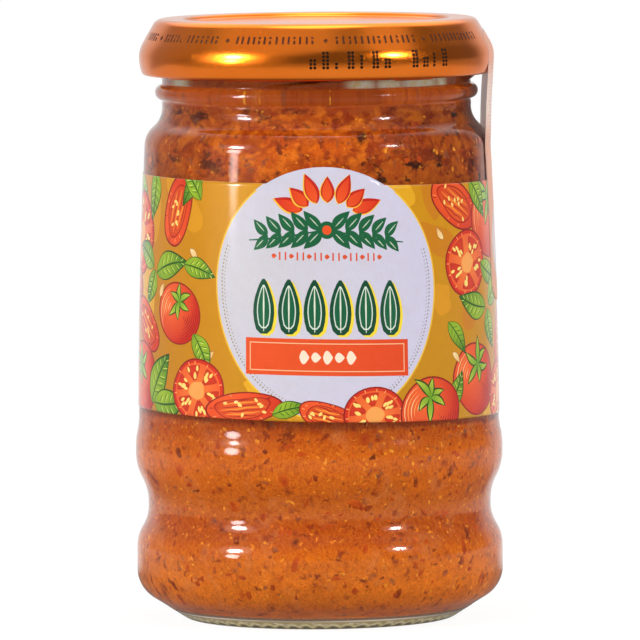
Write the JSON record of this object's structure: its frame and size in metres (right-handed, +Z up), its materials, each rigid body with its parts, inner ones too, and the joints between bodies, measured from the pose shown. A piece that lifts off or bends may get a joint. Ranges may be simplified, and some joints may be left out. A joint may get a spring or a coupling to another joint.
{
  "type": "pesto jar",
  "caption": "Sealed glass jar of red pesto with a gold twist-off cap, a wrap label with an arched top and a paper seal strip from cap to label.",
  "frame": {"origin": "centre of the ring that the jar stands on", "axes": "+Z up along the jar's axis, the label's front faces -Y, +X to the right of someone who looks at the front"},
  "size_m": [0.063, 0.063, 0.103],
  "materials": {
    "glass": "clear moulded glass",
    "pesto": "oily tomato paste with dark, red and yellow specks",
    "cap": "gold lacquer on tinplate, glossy",
    "label": "coated paper, printed, glossy",
    "seal": "thin translucent film, salmon pink, satin"
  },
  "bodies": {
    "root": {"glass_jar": "glass", "pesto": "pesto", "twist_cap": "cap", "wrap_label": "label", "seal_strip": "seal"}
  },
  "joints": []
}
